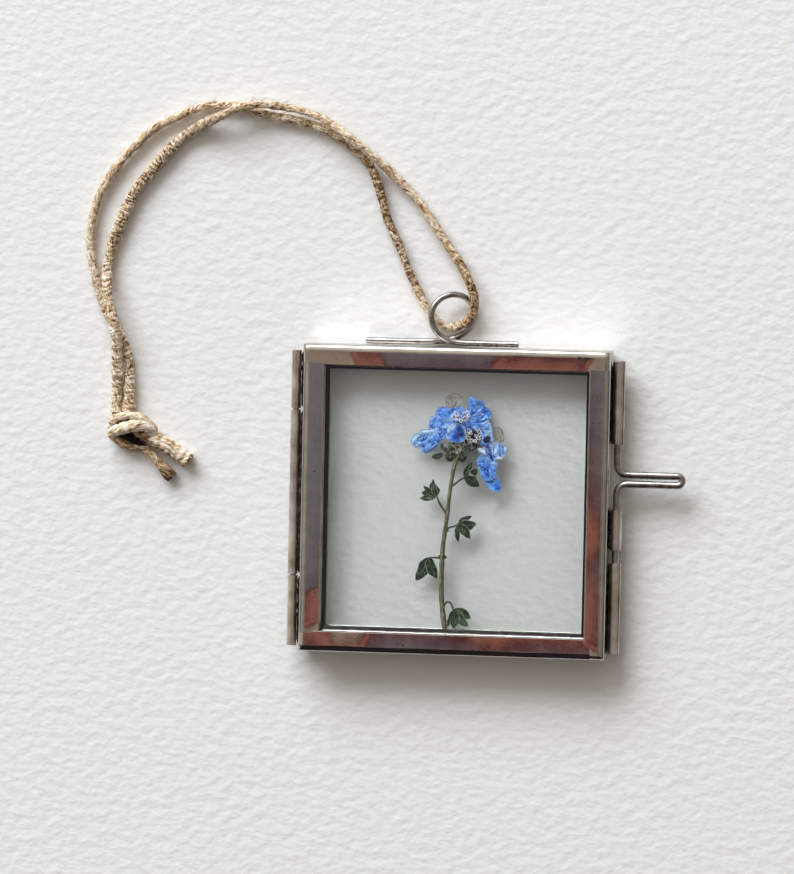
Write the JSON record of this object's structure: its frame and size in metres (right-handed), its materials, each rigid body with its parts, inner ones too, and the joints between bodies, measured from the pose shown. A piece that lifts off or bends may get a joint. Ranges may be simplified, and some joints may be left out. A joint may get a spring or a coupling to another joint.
{
  "type": "pressed flower frame",
  "caption": "Small square hinged frame of polished metal channel and clear glass holding a pressed blue flower, with a side wire clasp, a top hanging ring and a knotted twine loop.",
  "frame": {"origin": "bottom centre of the box around the metal, the glass and the flower, on the back face", "axes": "+X from the hinge to the clasp, +Y towards the hanging ring, +Z out of the front pane"},
  "size_m": [0.0993, 0.0893, 0.0061],
  "materials": {
    "polished_metal": "polished nickel-coloured sheet, hand soldered",
    "wire_metal": "drawn wire and rolled barrels, soldered",
    "window_glass": "clear sheet glass, faintly green",
    "jute": "twisted natural jute, fuzzy",
    "blue_petal": "dried petal, thin and veined",
    "pale_petal": "dried petal, pale",
    "faded_petal": "dried petal, faded and papery",
    "dark_throat": "dried, nearly black",
    "filament": "dried pale filament",
    "leaf_green": "dried leaf, dark grey-green",
    "stem_brown": "dried stem, olive brown"
  },
  "bodies": {
    "back": {"back_frame": "polished_metal", "back_glass": "window_glass", "bud_left": "leaf_green", "bud_right": "leaf_green", "clasp_knuckle_bottom": "wire_metal", "clasp_knuckle_top": "wire_metal", "cord_knot": "jute", "cord_strand_over": "jute", "cord_strand_under": "jute", "cord_tail_lower": "jute", "cord_tail_upper": "jute", "flower_throat": "dark_throat", "hanging_ring": "wire_metal", "hinge_knuckle_bottom": "wire_metal", "hinge_knuckle_top": "wire_metal", "hinge_pin": "wire_metal", "leaf_left_lower": "leaf_green", "leaf_left_upper": "leaf_green", "leaf_right_lower": "leaf_green", "leaf_right_middle": "leaf_green", "leaf_right_upper": "leaf_green", "leaf_small": "leaf_green", "petal_drooping": "blue_petal", "petal_drooping_tip": "blue_petal", "petal_faded_right": "faded_petal", "petal_faded_top": "faded_petal", "petal_front_bud": "blue_petal", "petal_left_crown": "pale_petal", "petal_left_drooping": "blue_petal", "petal_left_drooping_fold": "blue_petal", "petal_left_inner": "blue_petal", "petal_left_outer": "blue_petal", "petal_middle": "blue_petal", "petal_pale_fold": "pale_petal", "petal_pale_right": "pale_petal", "petal_right_column": "blue_petal", "petal_right_round": "pale_petal", "petal_top_left": "blue_petal", "petal_upper_left": "blue_petal", "petal_upper_right": "blue_petal", "petal_upper_right_back": "blue_petal", "petal_upright": "blue_petal", "sepal_left": "leaf_green", "sepal_left_middle": "leaf_green", "sepal_middle": "leaf_green", "sepal_right": "leaf_green", "sepal_right_middle": "leaf_green", "sepal_upper_right": "leaf_green", "stamens_lower": "filament", "stamens_upper": "filament", "stem": "stem_brown"},
    "front": {"front_frame": "polished_metal", "front_glass": "window_glass", "hinge_knuckle_middle": "wire_metal", "clasp_hook": "wire_metal"},
    "clasp": {"clasp_pin": "wire_metal"}
  },
  "joints": [
    {"name": "lid_hinge", "type": "hinge", "parent": "back", "child": "front", "pos_m": [-0.0315, -0.00447, 0.003], "axis": [0, -1, 0], "range_deg": [0, 150]},
    {"name": "clasp_swivel", "type": "hinge", "parent": "back", "child": "clasp", "pos_m": [0.0211, -0.00017, 0.003], "axis": [0, -1, 0], "range_deg": [-10, 90]}
  ]
}
